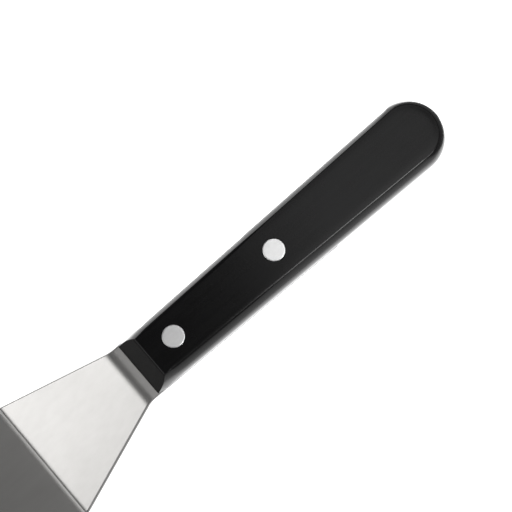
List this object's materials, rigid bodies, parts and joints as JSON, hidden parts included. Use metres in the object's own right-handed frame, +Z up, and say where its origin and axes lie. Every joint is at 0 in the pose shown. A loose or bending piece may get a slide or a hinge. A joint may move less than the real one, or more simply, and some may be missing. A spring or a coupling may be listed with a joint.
{
  "type": "offset spatula",
  "caption": "Wide stainless offset spatula with a stepped riser, a flared flat blade and a riveted black handle with a round butt.",
  "frame": {"origin": "middle of the whole tool's box, on the surface that the blade rests on", "axes": "+X from the blade towards the butt of the handle, +Z up from the surface, Y across the blade"},
  "size_m": [0.274, 0.076, 0.0229],
  "materials": {
    "blade_steel": "fine satin brushed along the tool's length",
    "handle_plastic": "satin black moulded acetal, faces ground flat",
    "rivet_metal": "ground flush with the handle, fine satin"
  },
  "bodies": {
    "root": {"blade": "blade_steel", "handle": "handle_plastic", "front_rivet_pin": "rivet_metal", "front_rivet_tube": "rivet_metal", "rear_rivet_pin": "rivet_metal", "rear_rivet_tube": "rivet_metal"}
  },
  "joints": []
}
